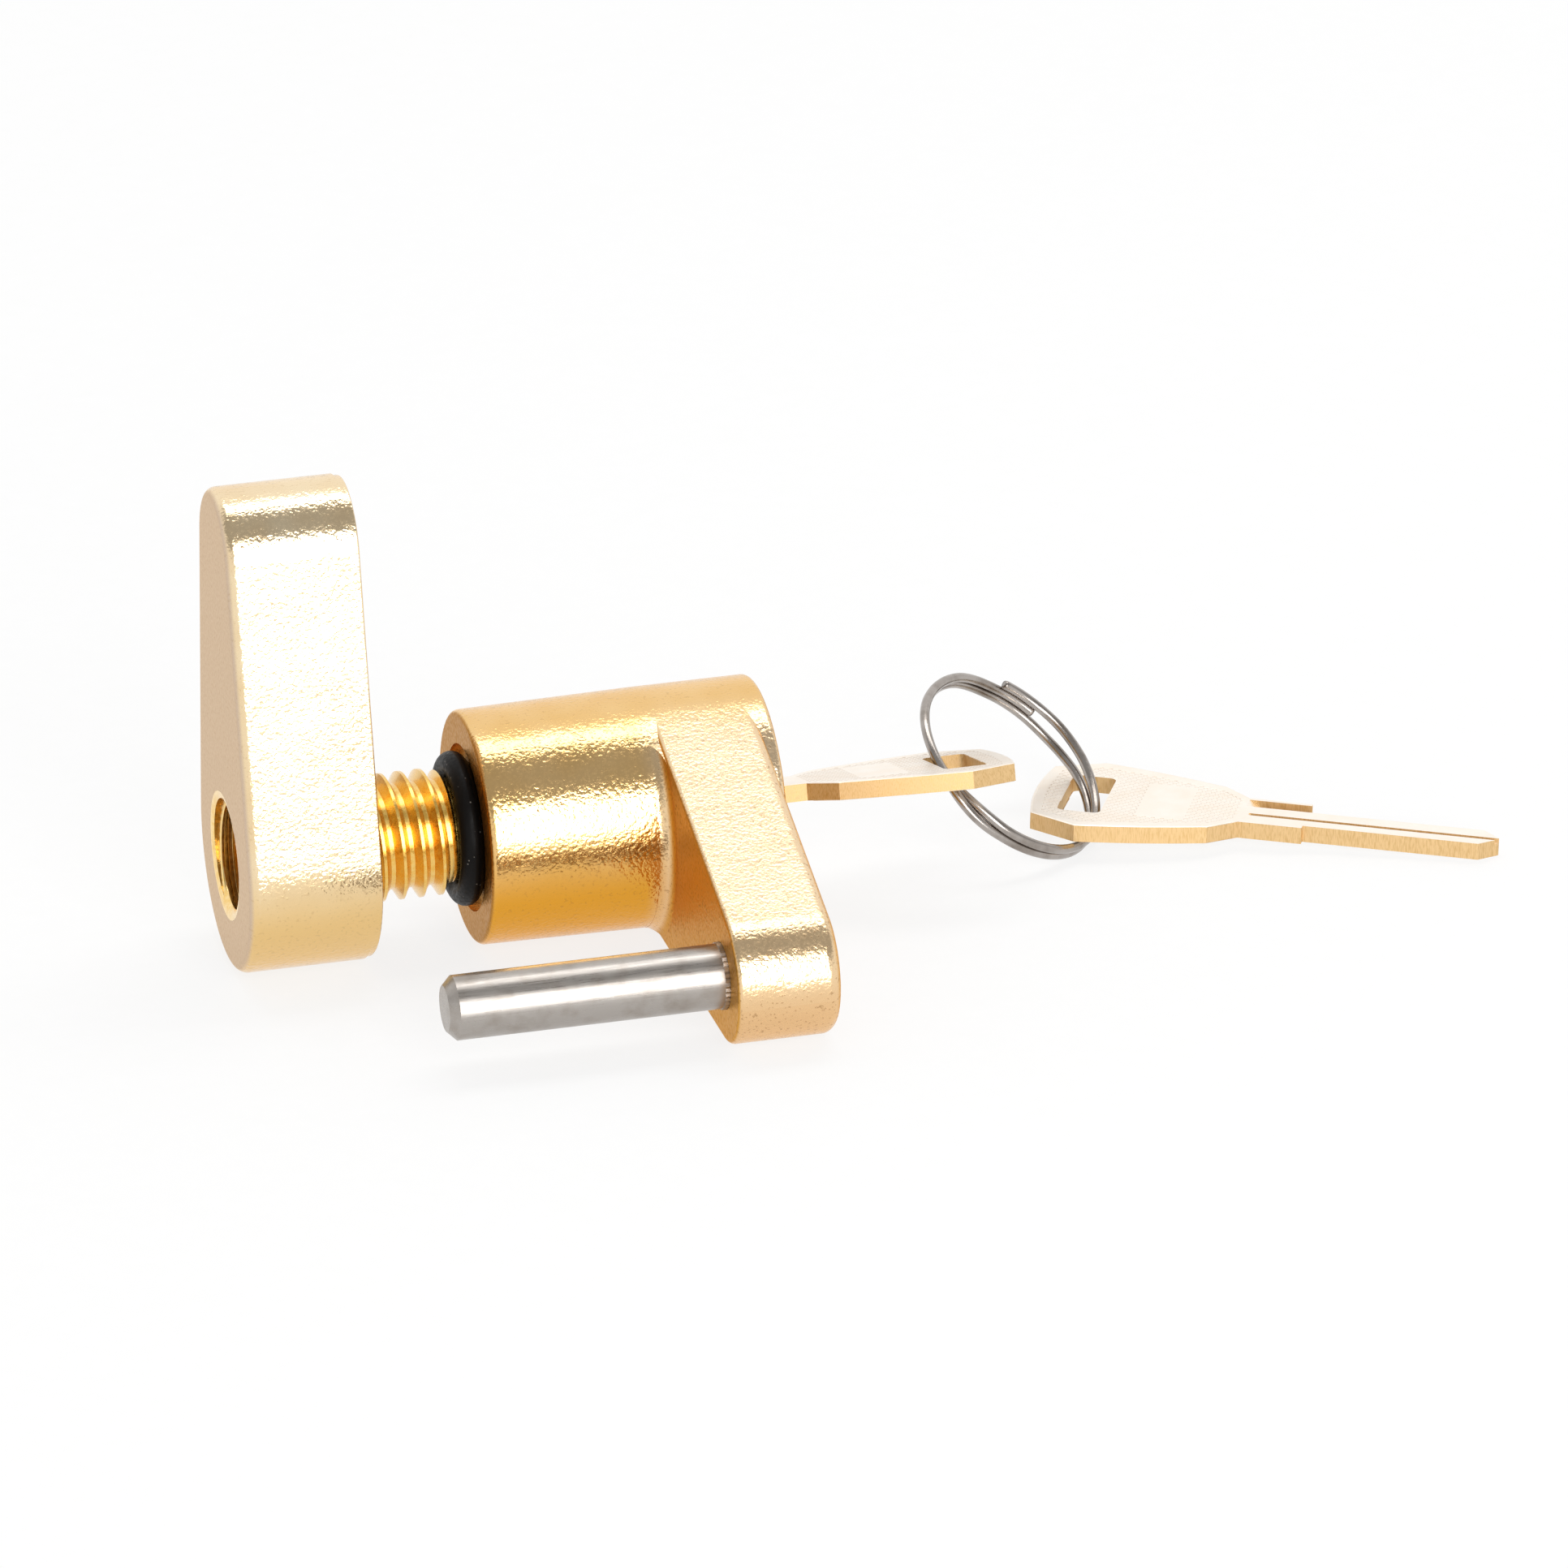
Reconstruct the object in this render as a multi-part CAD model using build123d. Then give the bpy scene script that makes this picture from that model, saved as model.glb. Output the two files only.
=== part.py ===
# Keyed clamp lock for a trailer coupler latch, lying on a table with its key in and a spare on the ring.
# Millimetres, +Z up. The origin is on the shackle pin's axis, half way along its free length.
# The lock's long axis runs along X: the clamp block is at -X, the key end at +X.
# Inside this file x is measured from the arm's inner face; save() moves each solid to the origin above.
from build123d import *
from math import asin, cos, pi, radians, sin, tan
import os

os.makedirs("parts", exist_ok=True)

# ---- body casting: a drafted barrel with a teardrop arm at its key end ----
barrel_radius = 11.82
barrel_draft = 0.24
barrel_exposed = 18.0
arm_thickness = 10.35
arm_reach = 31.15
arm_tip_radius = 6.7
collar_height = 1.3
arm_inner_round = 0.5
arm_outer_round = 1.3
barrel_rim_round = 0.6
arm_root_round = 1.3
arm_root_inset = 0.55
arm_root_overlap = 1.0
body_end_wall = 3.4
seal_recess_gap = 0.66
seal_recess_depth = 1.0

# ---- shackle pin: 1/4 inch steel, straight-knurled where it is pressed into the arm ----
pin_diameter = 6.35
pin_exposed = 27.5
pin_pressed = 8.6
pin_chamfer = 0.9
knurl_height = 0.14
knurl_teeth = 36
knurl_shown = 0.45

# ---- clamp block ----
block_thickness = 13.2
block_clearance_below = 0.22
block_gap = 10.9
block_angle = 101.3
block_round = 1.0
block_lip = 0.8
block_lip_step = 0.2
block_hole_chamfer = 0.15
tap_overrun = 0.7
block_nub_radius = 0.7
block_nub_places = (0.3, 0.8)
pin_socket_depth = 10.6
pin_socket_clearance = 0.22

# ---- threaded bolt: 1/2-13 ----
thread_pitch = 25.4 / 13
thread_major_radius = 6.27
thread_depth = 1.07
thread_crest = 0.3
thread_angle = 60
thread_side_clearance = 0.07
thread_root_overlap = 0.15
thread_end_gap = 0.1
thread_radial_clearance = 0.07
bolt_end_chamfer = 1.2
bolt_end_drop = 0.6
bolt_end_spare = 0.3
bolt_engagement = 5.4
shank_radius = 5.1
flange_gap = 0.8
flange_thickness = 2.4
shank_clearance = 0.08
seal_section_radius = 1.25
seal_protrusion = 2.0
seal_seat = 0.04
washer_thickness = 0.8
washer_gap = 0.5
tongue_slot_side_gap = 0.08
tongue_slot_end_gap = 0.1

# ---- lock cylinder ----
shell_wall = 4.4
shell_recess = 0.5
shell_fit = 0.02
plug_radius = 5.0
plug_head_step = 0.9
plug_head_length = 1.4
plug_tail_length = 2.0
plug_clearance = 0.04
plug_front_step = 0.1
tongue_end_cut = 1.0
end_play = 0.15
tongue_width = 3.2
tongue_length = 1.8
clip_height = 1.6
clip_thickness = 0.6
clip_groove_depth = 0.6
clip_gap = 5.0
clip_end_gap = 0.05
clip_seat_gap = 0.03
clip_groove_spare = 0.1

# ---- pin stacks ----
stack_count = 5
stack_spacing = 3.0
stack_first = 4.6
stack_radius = 1.05
stack_clearance = 0.05
driver_length = 1.7
spring_wire = 0.28
spring_turns = 3.5
cover_thickness = 0.65
cover_overlap = 0.4
cover_end = 0.6
cover_depth = 0.25
cover_fit = 0.02
chamber_depth = 0.5
stack_gap = 0.02
spring_side_gap = 0.05
retainer_radius = 1.25
retainer_bite = 1.0
retainer_sunk = 0.15

# ---- keys ----
key_thickness = 1.7
key_roll = 16.0
key_out = 24.93
bow_length = 20.3
bow_end_half = 6.6
bow_half = 8.9
bow_corner = 4.8
bow_bulge = 0.7
bow_taper_start = 17.6
bow_taper_half = 5.7
bow_swell = 0.3
hole_start = 2.2
hole_width = 4.4
hole_half = 4.9
hole_round = 0.7
shoulder_length = 6.4
shoulder_half = 3.35
lug_width = 0.45
channel_depth = 1.1
channel_start = 0.1
blade_length = 25.8
blade_near = -2.7
blade_far = 1.1
blade_tip = 1.75
tip_flat = 0.15
slot_ramp = 1.6
groove_width = 0.55
groove_depth = 0.4
groove_place = -1.0
groove_start = 0.6
keyway_clearance = 0.1
keyway_tip_gap = 0.2
keyway_shoulder_gap = 0.05
cut_overrun = 1.0

# ---- ring and spare key ----
ring_radius = 10.62
ring_wire = 0.95
ring_pitch = 1.02
ring_turns = 2.0
ring_azimuth = -36.4
ring_elevation = 47.7
ring_start = 93.7
ring_at_lock_key = -146.46
ring_at_spare_key = 8.53
lock_key_crossing = (5.27, 2.9, -0.23)
spare_key_crossing = (4.85, 0.51, -0.34)
spare_yaw = -26.1
spare_pitch = 3.1
spare_roll = -1.2

# ---- worked out from the sizes above ----
shell_radius = plug_radius + shell_wall
plug_head_radius = plug_radius + plug_head_step
clip_radius = plug_radius + clip_height
flange_radius = shell_radius - flange_gap
washer_radius = shell_radius - washer_gap
seal_middle = shank_radius + seal_section_radius + seal_seat
seal_recess_radius = seal_middle + seal_section_radius + seal_recess_gap
cover_width = 2 * (stack_radius + cover_overlap)
block_big_radius = barrel_radius - block_clearance_below
arm_drop = asin((barrel_radius - arm_tip_radius) / arm_reach)
axis_y = arm_reach * cos(arm_drop)
axis_z = arm_reach * sin(arm_drop)
table_z = -arm_tip_radius
arm_direction = (0, -cos(arm_drop), -sin(arm_drop))
block_lift = arm_drop - radians(block_angle)
block_direction = (0, -cos(block_lift), -sin(block_lift))
barrel_left = -barrel_exposed
collar_end = arm_thickness + collar_height
block_face = barrel_left - block_gap
block_back = block_face - block_thickness
thread_minor_radius = thread_major_radius - thread_depth
bolt_left = block_face - bolt_engagement
flange_left = barrel_left + body_end_wall + washer_thickness + end_play
flange_right = flange_left + flange_thickness
shell_front = collar_end - shell_recess
key_face = shell_front - plug_front_step
plug_back = flange_right + end_play
shell_back = plug_back + plug_tail_length
shear_radius = plug_radius + plug_clearance
normal_tilt = radians(key_roll)
key_normal = (0, sin(normal_tilt), cos(normal_tilt))
key_far = (0, cos(normal_tilt), -sin(normal_tilt))
stack_direction = (0, -sin(normal_tilt), -cos(normal_tilt))


def across(x, x_direction=(0, 1, 0)):
    """Plane square to the lock axis at x, with its own x axis along the given direction."""
    return Plane(origin=(x, axis_y, axis_z), x_dir=x_direction, z_dir=(1, 0, 0))


def disc(x_low, x_high, radius, x_direction=(0, 1, 0)):
    """Solid cylinder on the lock axis between two places along it."""
    return extrude(across(x_low, x_direction) * Circle(radius), x_high - x_low)


def teardrop(x_low, x_high, direction, big, small, reach):
    """Plate whose outline is two circles and the two straight flanks that touch both."""
    circles = Circle(big).edges() + (Pos(reach, 0) * Circle(small)).edges()
    return extrude(across(x_low, direction) * make_hull(circles), x_high - x_low)


def rim(solid, x):
    """Edges of a solid that lie flat in the plane square to the axis at x."""
    return solid.edges().filter_by_position(Axis.X, x - 0.001, x + 0.001)


def outline_rim(solid, x):
    """Outer outline of a solid's end face at x."""
    face = solid.faces().filter_by(Axis.X).filter_by_position(Axis.X, x - 0.001, x + 0.001)
    return face.sort_by(SortBy.AREA)[-1].outer_wire().edges()


def save(solid, name):
    """Write one node, moved so that the origin is half way along the pin's free length."""
    export_step(Pos(pin_exposed / 2, 0, 0) * solid, os.path.join("parts", name + ".step"))


def thread_ridge(x_start, turns, root_radius, top_radius, spare=0.0):
    """Right-hand helical ridge on the lock axis; spare widens each side of it."""
    top_half = thread_crest / 2 + spare
    root_half = top_half + (top_radius - root_radius) * tan(radians(thread_angle / 2))
    profile = Plane.XZ * Polygon(
        (root_radius, -root_half),
        (top_radius, -top_half),
        (top_radius, top_half),
        (root_radius, root_half),
        align=None,
    )
    helix = Helix(thread_pitch, turns * thread_pitch, root_radius)
    ridge = sweep(profile, path=helix, is_frenet=True)
    return across(x_start).location * ridge


def make_lock_body():
    barrel = revolve(
        Plane.XY * Polygon(
            (barrel_left, 0),
            (barrel_left, barrel_radius - barrel_draft),
            (0, barrel_radius),
            (collar_end, barrel_radius),
            (collar_end, 0),
            align=None,
        ),
        Axis.X,
    )
    barrel = Pos(0, axis_y, axis_z) * barrel
    arm = teardrop(0, arm_thickness, arm_direction, barrel_radius, arm_tip_radius, arm_reach)
    arm = fillet(rim(arm, arm_thickness), arm_outer_round)
    arm = fillet(rim(arm, 0), arm_inner_round)
    body = barrel + arm
    body = fillet(outline_rim(body, barrel_left) + outline_rim(body, collar_end), barrel_rim_round)
    body += make_arm_root()
    body -= disc(barrel_left, barrel_left + body_end_wall, shank_radius + shank_clearance)
    body -= disc(barrel_left, barrel_left + seal_recess_depth, seal_recess_radius)
    body -= disc(barrel_left + body_end_wall, collar_end, shell_radius)
    pin_hole_radius = pin_diameter / 2 + knurl_height
    body -= Pos(pin_pressed / 2, 0, 0) * Cylinder(pin_hole_radius, pin_pressed, rotation=(0, 90, 0))
    body -= retainer_solid(barrel_radius + cut_overrun)
    return body


def make_arm_root():
    """Concave ring between the barrel's side and the arm's inner face, a little narrower than the arm."""
    low = barrel_radius - arm_root_overlap
    high = barrel_radius + arm_root_round
    with BuildSketch() as outline:
        with BuildLine():
            curve = CenterArc((-arm_root_round, high), arm_root_round, 270, 90)
            corner = (arm_inner_round, low)
            Polyline(curve @ 1, (arm_inner_round, high), corner, (-arm_root_round, low), curve @ 0)
        make_face()
    ring = Pos(0, axis_y, axis_z) * revolve(outline.sketch, Axis.X)
    wide = barrel_radius - arm_root_inset
    narrow = arm_tip_radius - arm_root_inset
    return ring & teardrop(barrel_left, arm_thickness, arm_direction, wide, narrow, arm_reach)


def retainer_solid(end_radius=barrel_radius - retainer_sunk):
    """Round pin square to the axis, from inside the lock cylinder's wall out to end_radius."""
    inner = shell_radius - retainer_bite
    start = Vector(arm_thickness / 2, axis_y + inner, axis_z)
    return extrude(Plane(origin=start, z_dir=(0, 1, 0)) * Circle(retainer_radius), end_radius - inner)


def make_shackle_pin():
    radius = pin_diameter / 2
    plain = Plane(origin=(-pin_exposed, 0, 0), z_dir=(1, 0, 0)) * Circle(radius)
    pin = extrude(plain, pin_exposed - knurl_shown)
    pin = chamfer(rim(pin, -pin_exposed), pin_chamfer)
    points = []
    for tooth in range(knurl_teeth):
        for reach, share in ((radius, 0.0), (radius + knurl_height, 0.5)):
            angle = 2 * pi * (tooth + share) / knurl_teeth
            points.append((reach * cos(angle), reach * sin(angle)))
    knurl = extrude(
        Plane(origin=(-knurl_shown, 0, 0), z_dir=(1, 0, 0)) * Polygon(*points, align=None),
        knurl_shown + pin_pressed,
    )
    return pin + knurl


def make_clamp_block():
    main = teardrop(
        block_back, block_face - block_lip, block_direction, block_big_radius, arm_tip_radius, arm_reach
    )
    main = fillet(rim(main, block_back), block_round)
    lip = teardrop(
        block_face - block_lip, block_face, block_direction,
        block_big_radius - block_lip_step, arm_tip_radius - block_lip_step, arm_reach,
    )
    block = main + fillet(rim(lip, block_face), block_lip_step)
    nub_height = barrel_radius - block_big_radius
    for share in block_nub_places:
        x = block_back + share * (block_thickness - block_lip)
        foot = Plane(origin=(x, axis_y, table_z), z_dir=(0, 0, 1)) * Circle(block_nub_radius)
        block += extrude(foot, nub_height + cut_overrun)
    block -= block_tap()
    hole_radius = thread_minor_radius + thread_radial_clearance
    mouth = across(block_back) * Circle(thread_major_radius + block_hole_chamfer)
    throat = across(block_back + thread_depth + block_hole_chamfer) * Circle(hole_radius)
    block -= loft([mouth.face(), throat.face()])
    socket_radius = pin_diameter / 2 + pin_socket_clearance
    seat = across(block_face, block_direction) * Pos(arm_reach, 0) * Circle(socket_radius)
    block -= extrude(seat, -pin_socket_depth)
    return block


def block_tap():
    """Threaded cutter for the block's hole, in step with the bolt's thread and a little larger."""
    low = block_back - tap_overrun
    high = block_face + tap_overrun
    turns = block_thickness / thread_pitch + 2
    ridge = thread_ridge(
        thread_origin() + (turns_to_block() - 1) * thread_pitch, turns,
        thread_minor_radius, thread_major_radius + thread_radial_clearance, thread_side_clearance,
    )
    core = disc(low, high, thread_minor_radius + thread_radial_clearance)
    return core + (ridge & disc(low, high, thread_major_radius + cut_overrun))


def thread_origin():
    """Place along the axis where the bolt's helix starts, a turn beyond its free end."""
    return bolt_left - thread_pitch


def turns_to_block():
    """Whole turns from the start of the helix to the block's outer face."""
    return int((block_back - thread_origin()) / thread_pitch) - 1


def make_threaded_bolt():
    thread_right = barrel_left - seal_protrusion - thread_end_gap
    core = disc(bolt_left, thread_right, thread_minor_radius)
    turns = (thread_right - bolt_left) / thread_pitch + 2
    root_radius = thread_minor_radius - thread_root_overlap
    ridge = thread_ridge(thread_origin(), turns, root_radius, thread_major_radius)
    envelope = disc(bolt_left, thread_right, thread_major_radius + bolt_end_spare)
    envelope = chamfer(rim(envelope, bolt_left), thread_depth + bolt_end_spare)
    envelope = chamfer(rim(envelope, thread_right), thread_depth)
    bolt = core + (ridge & envelope)
    bolt = chamfer_free_end(bolt)
    bolt += disc(thread_right, flange_left, shank_radius)
    bolt += disc(flange_left, flange_right, flange_radius)
    width = tongue_width + 2 * tongue_slot_side_gap
    slot = across(flange_right, key_far) * Rectangle(width, 2 * flange_radius + cut_overrun)
    return bolt - extrude(slot, -(tongue_length + tongue_slot_end_gap))


def chamfer_free_end(bolt):
    cone_right = bolt_left + bolt_end_chamfer
    outer = disc(bolt_left, cone_right, thread_major_radius + cut_overrun)
    inner = loft([
        (across(bolt_left) * Circle(thread_minor_radius - bolt_end_drop)).face(),
        (across(cone_right) * Circle(thread_major_radius + bolt_end_spare)).face(),
    ])
    return bolt - (outer - inner)


def make_bolt_seal():
    x = barrel_left - seal_protrusion + seal_section_radius
    return across(x).location * Torus(seal_middle, seal_section_radius)


def make_thrust_washer():
    left = barrel_left + body_end_wall
    washer = disc(left + end_play / 2, left + end_play / 2 + washer_thickness, washer_radius)
    return washer - disc(left, flange_left, shank_radius + shank_clearance)


def stack_places():
    return [key_face - stack_first - stack_spacing * place for place in range(stack_count)]


def stack_rod(x, low, high, radius):
    """Round rod that stands on the lock axis at x, from one distance out to another."""
    base = Plane(origin=(x, axis_y, axis_z), x_dir=(1, 0, 0), z_dir=stack_direction).offset(low)
    return extrude(base * Circle(radius), high - low)


def cover_box(clearance=0.0):
    """Flat strip that closes the outer ends of the pin chambers."""
    places = stack_places()
    length = places[0] - places[-1] + 2 * (stack_radius + cover_end)
    middle = (places[0] + places[-1]) / 2
    top = shell_radius - cover_depth
    base = Plane(origin=(middle, axis_y, axis_z), x_dir=(1, 0, 0), z_dir=stack_direction).offset(top)
    return extrude(base * Rectangle(length + 2 * clearance, cover_width + 2 * clearance), -cover_thickness)


def make_cylinder_shell():
    shell = disc(shell_back, shell_front, shell_radius - shell_fit)
    shell -= disc(shell_back, shell_front, shear_radius)
    shell -= disc(shell_front - plug_head_length - end_play, shell_front, plug_head_radius + plug_clearance)
    for x in stack_places():
        shell -= stack_rod(x, 0, shell_radius - chamber_depth, stack_radius + stack_clearance)
    slot = cover_box(cover_fit)
    shell -= slot + slot.moved(Location(Vector(*stack_direction) * cover_thickness))
    shell -= retainer_solid()
    return shell


def keyway(x_low, near, far):
    """Slot for a flat key, from the plug's front face in to x_low."""
    width = far - near + 2 * keyway_clearance
    thickness = key_thickness + 2 * keyway_clearance
    slot = across(x_low, key_far) * Pos((near + far) / 2, 0) * Rectangle(width, thickness)
    return extrude(slot, key_face - x_low)


def make_cylinder_plug():
    plug = disc(plug_back, key_face, plug_radius)
    plug += disc(shell_front - plug_head_length, key_face, plug_head_radius)
    tongue = across(plug_back, key_far) * Rectangle(tongue_width, 2 * plug_radius - tongue_end_cut)
    plug += extrude(tongue, -tongue_length)
    plug -= keyway(blade_tip_x() - keyway_tip_gap, blade_near, blade_far)
    plug -= keyway(shoulder_x() - keyway_shoulder_gap, -shoulder_half, shoulder_half)
    for x in stack_places():
        plug -= stack_rod(x, 0, plug_radius + cut_overrun, stack_radius + stack_clearance)
    groove_left = shell_back - end_play - clip_thickness - clip_groove_spare
    groove = disc(groove_left, shell_back - clip_end_gap, plug_radius + cut_overrun)
    groove -= disc(plug_back, shell_back, plug_radius - clip_groove_depth)
    return plug - groove


def key_outer_x():
    """Where the key's outer end stands when its shoulder has bottomed in the plug."""
    return key_face + key_out


def shoulder_x():
    return key_outer_x() - bow_length - shoulder_length


def blade_tip_x():
    return key_outer_x() - bow_length - blade_length


def make_plug_clip():
    right = shell_back - clip_end_gap
    left = right - clip_thickness
    clip = disc(left, right, clip_radius)
    clip -= disc(left, right, plug_radius - clip_groove_depth + clip_seat_gap)
    mouth = across(left, key_far) * Pos(clip_radius, 0) * Rectangle(2 * clip_radius, clip_gap)
    return clip - extrude(mouth, clip_thickness)


def bow_side(side):
    """One long side of the bow, from its outer corner to the neck; side is 1 or -1."""
    middle = (bow_corner + bow_taper_start) / 2
    half = (bow_half + bow_taper_half) / 2 + bow_swell
    waist = (bow_taper_start, side * bow_taper_half)
    arc = ThreePointArc((bow_corner, side * bow_half), (middle, side * half), waist)
    neck = Line(waist, (bow_length, side * shoulder_half))
    return [arc, neck]


def make_key():
    """Key in its own frame: x from the bow's outer end to the tip, y across, z up, bow centred on y = 0."""
    top = key_thickness / 2
    edge = bow_length + shoulder_length
    tip = bow_length + blade_length
    middle = (blade_near + blade_far) / 2
    with BuildSketch() as outline:
        with BuildLine():
            end = ThreePointArc((0, -bow_end_half), (-bow_bulge, 0), (0, bow_end_half))
            Line(end @ 1, (bow_corner, bow_half))
            Line(end @ 0, (bow_corner, -bow_half))
            bow_side(1)
            bow_side(-1)
            Polyline(
                (bow_length, shoulder_half),
                (edge, shoulder_half),
                (edge, blade_far),
                (tip - blade_tip, blade_far),
                (tip, middle + tip_flat),
                (tip, middle - tip_flat),
                (tip - blade_tip, blade_near),
                (edge, blade_near),
                (edge, -shoulder_half),
                (bow_length, -shoulder_half),
            )
        make_face()
        with Locations((hole_start + hole_width / 2, 0)):
            RectangleRounded(hole_width, 2 * hole_half, hole_round, mode=Mode.SUBTRACT)
    key = extrude(outline.sketch, top, both=True)
    channel_high = shoulder_half - lug_width
    channel_end = edge + cut_overrun
    key -= milled_slot(bow_length + channel_start, channel_end, blade_far, channel_high, channel_depth)
    half_groove = groove_width / 2
    groove_low = groove_place - half_groove
    groove_high = groove_place + half_groove
    key -= milled_slot(bow_length + groove_start, tip + cut_overrun, groove_low, groove_high, groove_depth)
    return key


def milled_slot(start, end, low, high, depth):
    """Slot in the key's upper face with a ramp at its start."""
    top = key_thickness / 2
    profile = Plane.XZ.offset(-high) * Polygon(
        (start, top),
        (start + slot_ramp * depth, top - depth),
        (end, top - depth),
        (end, top),
        align=None,
    )
    return extrude(profile, high - low)


def lock_key_seat():
    """Frame of the key in the lock: bow centred on the lock axis, coded face down."""
    face_down = (0, -key_normal[1], -key_normal[2])
    return Plane(origin=(key_outer_x(), axis_y, axis_z), x_dir=(-1, 0, 0), z_dir=face_down)


def ring_seat():
    """Frame of the ring, placed so that its middle circle passes through the lock key's hole."""
    tilt = radians(ring_elevation)
    turn = radians(ring_azimuth)
    normal = (cos(tilt) * cos(turn), cos(tilt) * sin(turn), sin(tilt))
    lean = Plane(origin=(0, 0, 0), z_dir=normal)
    crossing = lock_key_seat().from_local_coords(Vector(*lock_key_crossing))
    return Plane(origin=crossing - spoke(lean, ring_at_lock_key), x_dir=lean.x_dir, z_dir=normal)


def spoke(frame, angle):
    """Vector from the ring's centre out to its middle circle."""
    direction = frame.x_dir * cos(radians(angle)) + frame.y_dir * sin(radians(angle))
    return direction * ring_radius


def spare_key_location():
    """Place of the spare key, hung by its hole on the ring and lying on the table."""
    turned = Rot(spare_roll, spare_pitch, spare_yaw)
    seat = ring_seat()
    crossing = seat.origin + spoke(seat, ring_at_spare_key)
    reach = (turned * Pos(*spare_key_crossing)).position
    return Pos(*(crossing - reach)) * turned


def make_key_ring():
    """Split ring: a round wire wound two turns side by side."""
    height = ring_turns * ring_pitch
    helix = Helix(ring_pitch, height, ring_radius)
    start = Plane(origin=helix @ 0, z_dir=helix % 0)
    wire = sweep(start * Circle(ring_wire / 2), path=helix, is_frenet=True)
    return ring_seat().location * Rot(0, 0, ring_start) * Pos(0, 0, -height / 2) * wire


def make_driver_spring(x):
    low = shear_radius + driver_length + spring_wire / 2 + 2 * stack_gap
    high = shell_radius - cover_depth - cover_thickness - spring_wire / 2 - stack_gap
    helix = Helix((high - low) / spring_turns, high - low, stack_radius - spring_wire / 2 - spring_side_gap)
    start = Plane(origin=helix @ 0, z_dir=helix % 0)
    coil = sweep(start * Circle(spring_wire / 2), path=helix, is_frenet=True)
    seat = Plane(origin=(x, axis_y, axis_z), x_dir=(1, 0, 0), z_dir=stack_direction).offset(low)
    return seat.location * coil


def main():
    save(make_lock_body(), "lock_body")
    save(make_shackle_pin(), "shackle_pin")
    save(make_clamp_block(), "clamp_block")
    save(make_threaded_bolt(), "threaded_bolt")
    save(make_bolt_seal(), "bolt_seal")
    save(make_thrust_washer(), "thrust_washer")
    save(make_cylinder_shell(), "cylinder_shell")
    save(make_cylinder_plug(), "cylinder_plug")
    save(make_plug_clip(), "plug_clip")
    save(cover_box(), "chamber_cover")
    save(retainer_solid(), "cylinder_retaining_pin")
    key_pin_low = key_thickness / 2 + stack_gap
    key_pin_high = (plug_radius ** 2 - stack_radius ** 2) ** 0.5
    driver_low = shear_radius + stack_gap
    for number, x in enumerate(stack_places(), 1):
        save(stack_rod(x, key_pin_low, key_pin_high, stack_radius), f"key_pin_{number}")
        save(stack_rod(x, driver_low, driver_low + driver_length, stack_radius), f"driver_pin_{number}")
        save(make_driver_spring(x), f"driver_spring_{number}")
    key = make_key()
    save(lock_key_seat().location * key, "lock_key")
    save(spare_key_location() * key, "spare_key")
    save(make_key_ring(), "key_ring")


main()
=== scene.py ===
import math

import bpy
import numpy as np
from mathutils import Matrix, Vector


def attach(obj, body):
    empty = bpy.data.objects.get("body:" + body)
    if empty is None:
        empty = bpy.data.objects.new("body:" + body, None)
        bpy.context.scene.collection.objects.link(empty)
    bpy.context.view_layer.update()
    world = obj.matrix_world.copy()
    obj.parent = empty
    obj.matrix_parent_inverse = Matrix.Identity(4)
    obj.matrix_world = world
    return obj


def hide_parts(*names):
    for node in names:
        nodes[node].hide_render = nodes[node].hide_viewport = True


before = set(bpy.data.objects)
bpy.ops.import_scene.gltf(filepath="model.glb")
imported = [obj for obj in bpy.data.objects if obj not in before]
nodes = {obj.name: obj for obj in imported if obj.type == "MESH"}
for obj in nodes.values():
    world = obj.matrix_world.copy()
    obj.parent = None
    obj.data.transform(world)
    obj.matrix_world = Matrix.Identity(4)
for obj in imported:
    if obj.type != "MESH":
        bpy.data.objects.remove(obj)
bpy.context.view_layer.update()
mm = 0.001

softly = {"interpolation_type": "SMOOTHSTEP"}
asColour = {"data_type": "RGBA"}
times = {"operation": "MULTIPLY"}
plus = {"operation": "ADD"}
most = {"operation": "MAXIMUM"}
noiseSpan = (0.3, 0.7)  # where most of a noise's values lie
cloudSpan = (0.35, 0.7)  # the same, with its lowest values left out


def linear(hexText):
    # sRGB hex to the linear colour that shaders take
    levels = [int(hexText[i:i + 2], 16) / 255 for i in (0, 2, 4)]
    return tuple(c / 12.92 if c <= 0.04045 else ((c + 0.055) / 1.055) ** 2.4 for c in levels) + (1.0,)


def metres(span):
    # a span given in mm
    return tuple(end * mm for end in span)


def sized(size, detail):
    # socket values of a texture whose features are this many mm across
    return {"Scale": 1 / (size * mm), "Detail": detail}


def relief(depth):
    # socket values of a bump this many mm deep
    return {"Strength": 1.0, "Distance": depth * mm}


def fromTo(span, first, last):
    # socket values that map a span onto the values from first to last
    return {"From Min": span[0], "From Max": span[1], "To Min": first, "To Max": last}


def add(tree, kind, links=None, inputs=None, **settings):
    # one node: settings are its own properties, inputs its socket values, links its sockets fed by others
    node = tree.nodes.new(kind)
    for key, value in settings.items():
        setattr(node, key, value)
    for key, value in (inputs or {}).items():
        node.inputs[key].default_value = value
    for key, source in (links or {}).items():
        tree.links.new(source, node.inputs[key])
    return node


def newMaterial(name):
    made = bpy.data.materials.new(name)
    made.use_nodes = True
    made.node_tree.nodes.clear()
    return made, made.node_tree


def close(tree, shader):
    add(tree, "ShaderNodeOutputMaterial", {"Surface": shader.outputs[0]})


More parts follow.
